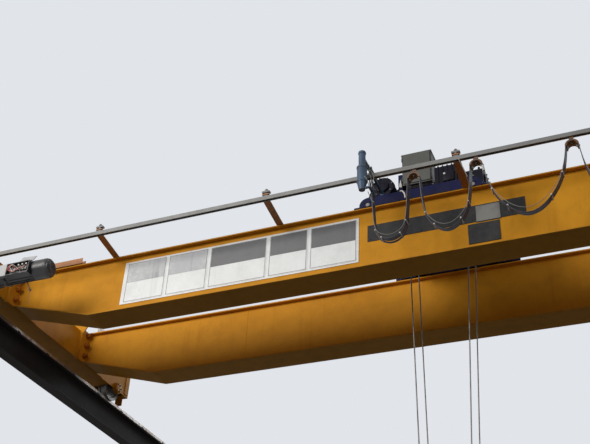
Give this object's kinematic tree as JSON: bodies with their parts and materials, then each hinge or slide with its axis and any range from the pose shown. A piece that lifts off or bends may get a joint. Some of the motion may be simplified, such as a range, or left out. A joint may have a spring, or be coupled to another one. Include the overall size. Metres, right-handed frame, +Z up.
{
  "type": "double-girder overhead bridge crane",
  "caption": "Double-girder overhead travelling crane: box girders on end carriages, hoist trolley with hook block, festoon cable loops, on lengths of runway beam.",
  "frame": {"origin": "underside of the left runway beam, on its centre line, half way along it", "axes": "+X along the span towards the right runway, +Y along the runway away from the cable side, +Z up"},
  "size_m": [9.664, 5.2, 3.825],
  "materials": {
    "girder_paint": "semi-gloss golden yellow, dusty on top of the flanges",
    "black_steel": "matt black paint over rolled steel",
    "rail_steel": "worn bright on top, brown at the sides",
    "wheel_steel": "machined tread, dark sides",
    "drive_paint": "satin black motor paint",
    "board": "pale enamel board, dark panels",
    "web_plate": "dull grey plates",
    "rail_galvanised": "galvanised rolled section",
    "bracket_paint": "orange-yellow paint",
    "buffer_rubber": "matt moulded rubber",
    "trolley_paint": "satin mid-blue paint",
    "post_paint": "satin blue-grey paint, chipped",
    "hoist_paint": "satin dark slate-blue paint",
    "box_paint": "pale grey powder coat",
    "rope_steel": "greased wire rope",
    "sheave_iron": "dark cast iron, bright in the groove",
    "hook_steel": "forged, dark and slightly oily",
    "carrier": "brown moulded saddle, zinc rollers",
    "cable": "grey flat cable sheath"
  },
  "bodies": {
    "runway": {"runway_beam_left": "black_steel", "runway_beam_right": "black_steel", "crane_rails": "rail_steel"},
    "bridge": {"girder_front": "girder_paint", "girder_rear": "girder_paint", "end_plates": "girder_paint", "end_carriage_left": "girder_paint", "end_carriage_right": "girder_paint", "trolley_rails": "rail_steel", "travel_drive_left": "drive_paint", "travel_drive_right": "drive_paint", "label_board": "board", "web_plates": "web_plate", "festoon_rail": "rail_galvanised", "festoon_brackets": "bracket_paint", "buffers": "buffer_rubber", "festoon_cable": "cable"},
    "trolley": {"trolley_frame": "trolley_paint", "hoist_gearbox": "hoist_paint", "hoist_motor": "hoist_paint", "control_box": "box_paint", "tow_arm": "post_paint", "rope_anchor": "hoist_paint", "trolley_drive": "hoist_paint", "rope_falls_front": "rope_steel", "rope_falls_rear": "rope_steel"},
    "drum": {"rope_drum": "sheave_iron"},
    "hook_block": {"hook_block": "girder_paint", "hook_sheaves": "sheave_iron"},
    "hook": {"hook": "hook_steel"},
    "bridge_wheel_left_front": {"bridge_wheel_left_front": "wheel_steel"},
    "bridge_wheel_left_rear": {"bridge_wheel_left_rear": "wheel_steel"},
    "bridge_wheel_right_front": {"bridge_wheel_right_front": "wheel_steel"},
    "bridge_wheel_right_rear": {"bridge_wheel_right_rear": "wheel_steel"},
    "trolley_wheel_left_front": {"trolley_wheel_left_front": "wheel_steel"},
    "trolley_wheel_left_rear": {"trolley_wheel_left_rear": "wheel_steel"},
    "trolley_wheel_right_front": {"trolley_wheel_right_front": "wheel_steel"},
    "trolley_wheel_right_rear": {"trolley_wheel_right_rear": "wheel_steel"},
    "carrier_1": {"cable_carrier_1": "carrier"},
    "carrier_2": {"cable_carrier_2": "carrier"},
    "carrier_3": {"cable_carrier_3": "carrier"},
    "carrier_4": {"cable_carrier_4": "carrier"},
    "carrier_5": {"cable_carrier_5": "carrier"},
    "carrier_6": {"cable_carrier_6": "carrier"},
    "carrier_7": {"cable_carrier_7": "carrier"}
  },
  "joints": [
    {"name": "bridge_travel", "type": "slide", "parent": "runway", "child": "bridge", "axis": [0, 1, 0], "range_m": [-1, 1]},
    {"name": "trolley_travel", "type": "slide", "parent": "bridge", "child": "trolley", "axis": [1, 0, 0], "range_m": [-3.41, 4.28], "deforming": ["festoon_cable"]},
    {"name": "hoist_lift", "type": "slide", "parent": "trolley", "child": "hook_block", "axis": [0, 0, 1], "range_m": [0, 2], "deforming": ["rope_falls_front", "rope_falls_rear"]},
    {"name": "hook_swivel", "type": "hinge", "parent": "hook_block", "child": "hook", "pos_m": [4.248, 0, -1.955], "axis": [0, 0, 1], "continuous": true},
    {"name": "drum_spin", "type": "hinge", "parent": "trolley", "child": "drum", "pos_m": [4.28, 0, 1.0913], "axis": [1, 0, 0], "range_deg": [-1639, 0]},
    {"name": "bridge_wheel_left_front_spin", "type": "hinge", "parent": "bridge", "child": "bridge_wheel_left_front", "pos_m": [0, -1.25, 0.4603], "axis": [1, 0, 0], "range_deg": [-479, 479]},
    {"name": "bridge_wheel_left_rear_spin", "type": "hinge", "parent": "bridge", "child": "bridge_wheel_left_rear", "pos_m": [0, 1.25, 0.4603], "axis": [1, 0, 0], "range_deg": [-479, 479]},
    {"name": "bridge_wheel_right_front_spin", "type": "hinge", "parent": "bridge", "child": "bridge_wheel_right_front", "pos_m": [9.4, -1.25, 0.4603], "axis": [1, 0, 0], "range_deg": [-479, 479]},
    {"name": "bridge_wheel_right_rear_spin", "type": "hinge", "parent": "bridge", "child": "bridge_wheel_right_rear", "pos_m": [9.4, 1.25, 0.4603], "axis": [1, 0, 0], "range_deg": [-479, 479]},
    {"name": "trolley_wheel_left_front_spin", "type": "hinge", "parent": "trolley", "child": "trolley_wheel_left_front", "pos_m": [3.79, -0.63, 0.8553], "axis": [0, 1, 0], "range_deg": [-3258, 4089]},
    {"name": "trolley_wheel_left_rear_spin", "type": "hinge", "parent": "trolley", "child": "trolley_wheel_left_rear", "pos_m": [3.79, 0.63, 0.8553], "axis": [0, 1, 0], "range_deg": [-3258, 4089]},
    {"name": "trolley_wheel_right_front_spin", "type": "hinge", "parent": "trolley", "child": "trolley_wheel_right_front", "pos_m": [4.74, -0.63, 0.8553], "axis": [0, 1, 0], "range_deg": [-3258, 4089]},
    {"name": "trolley_wheel_right_rear_spin", "type": "hinge", "parent": "trolley", "child": "trolley_wheel_right_rear", "pos_m": [4.74, 0.63, 0.8553], "axis": [0, 1, 0], "range_deg": [-3258, 4089]},
    {"name": "carrier_1_slide", "type": "slide", "parent": "bridge", "child": "carrier_1", "axis": [1, 0, 0], "range_m": [-3.223, 4.044]},
    {"name": "carrier_2_slide", "type": "slide", "parent": "bridge", "child": "carrier_2", "axis": [1, 0, 0], "range_m": [-2.9, 3.639]},
    {"name": "carrier_3_slide", "type": "slide", "parent": "bridge", "child": "carrier_3", "axis": [1, 0, 0], "range_m": [-2.391, 2.999]},
    {"name": "carrier_4_slide", "type": "slide", "parent": "bridge", "child": "carrier_4", "axis": [1, 0, 0], "range_m": [-1.914, 2.401]},
    {"name": "carrier_5_slide", "type": "slide", "parent": "bridge", "child": "carrier_5", "axis": [1, 0, 0], "range_m": [-1.437, 1.802]},
    {"name": "carrier_6_slide", "type": "slide", "parent": "bridge", "child": "carrier_6", "axis": [1, 0, 0], "range_m": [-0.959, 1.203]},
    {"name": "carrier_7_slide", "type": "slide", "parent": "bridge", "child": "carrier_7", "axis": [1, 0, 0], "range_m": [-0.482, 0.604]}
  ],
  "couplings": [
    {"joint": "drum_spin", "follows": "hoist_lift", "rad_per_m": -14.286},
    {"joint": "bridge_wheel_left_front_spin", "follows": "bridge_travel", "rad_per_m": -8.3333},
    {"joint": "bridge_wheel_left_rear_spin", "follows": "bridge_travel", "rad_per_m": -8.3333},
    {"joint": "bridge_wheel_right_front_spin", "follows": "bridge_travel", "rad_per_m": -8.3333},
    {"joint": "bridge_wheel_right_rear_spin", "follows": "bridge_travel", "rad_per_m": -8.3333},
    {"joint": "trolley_wheel_left_front_spin", "follows": "trolley_travel", "rad_per_m": 16.667},
    {"joint": "trolley_wheel_left_rear_spin", "follows": "trolley_travel", "rad_per_m": 16.667},
    {"joint": "trolley_wheel_right_front_spin", "follows": "trolley_travel", "rad_per_m": 16.667},
    {"joint": "trolley_wheel_right_rear_spin", "follows": "trolley_travel", "rad_per_m": 16.667},
    {"joint": "carrier_1_slide", "follows": "trolley_travel", "ratio": 0.9437},
    {"joint": "carrier_2_slide", "follows": "trolley_travel", "ratio": 0.849},
    {"joint": "carrier_3_slide", "follows": "trolley_travel", "ratio": 0.6996},
    {"joint": "carrier_4_slide", "follows": "trolley_travel", "ratio": 0.5597},
    {"joint": "carrier_5_slide", "follows": "trolley_travel", "ratio": 0.4198},
    {"joint": "carrier_6_slide", "follows": "trolley_travel", "ratio": 0.2798},
    {"joint": "carrier_7_slide", "follows": "trolley_travel", "ratio": 0.1399}
  ]
}
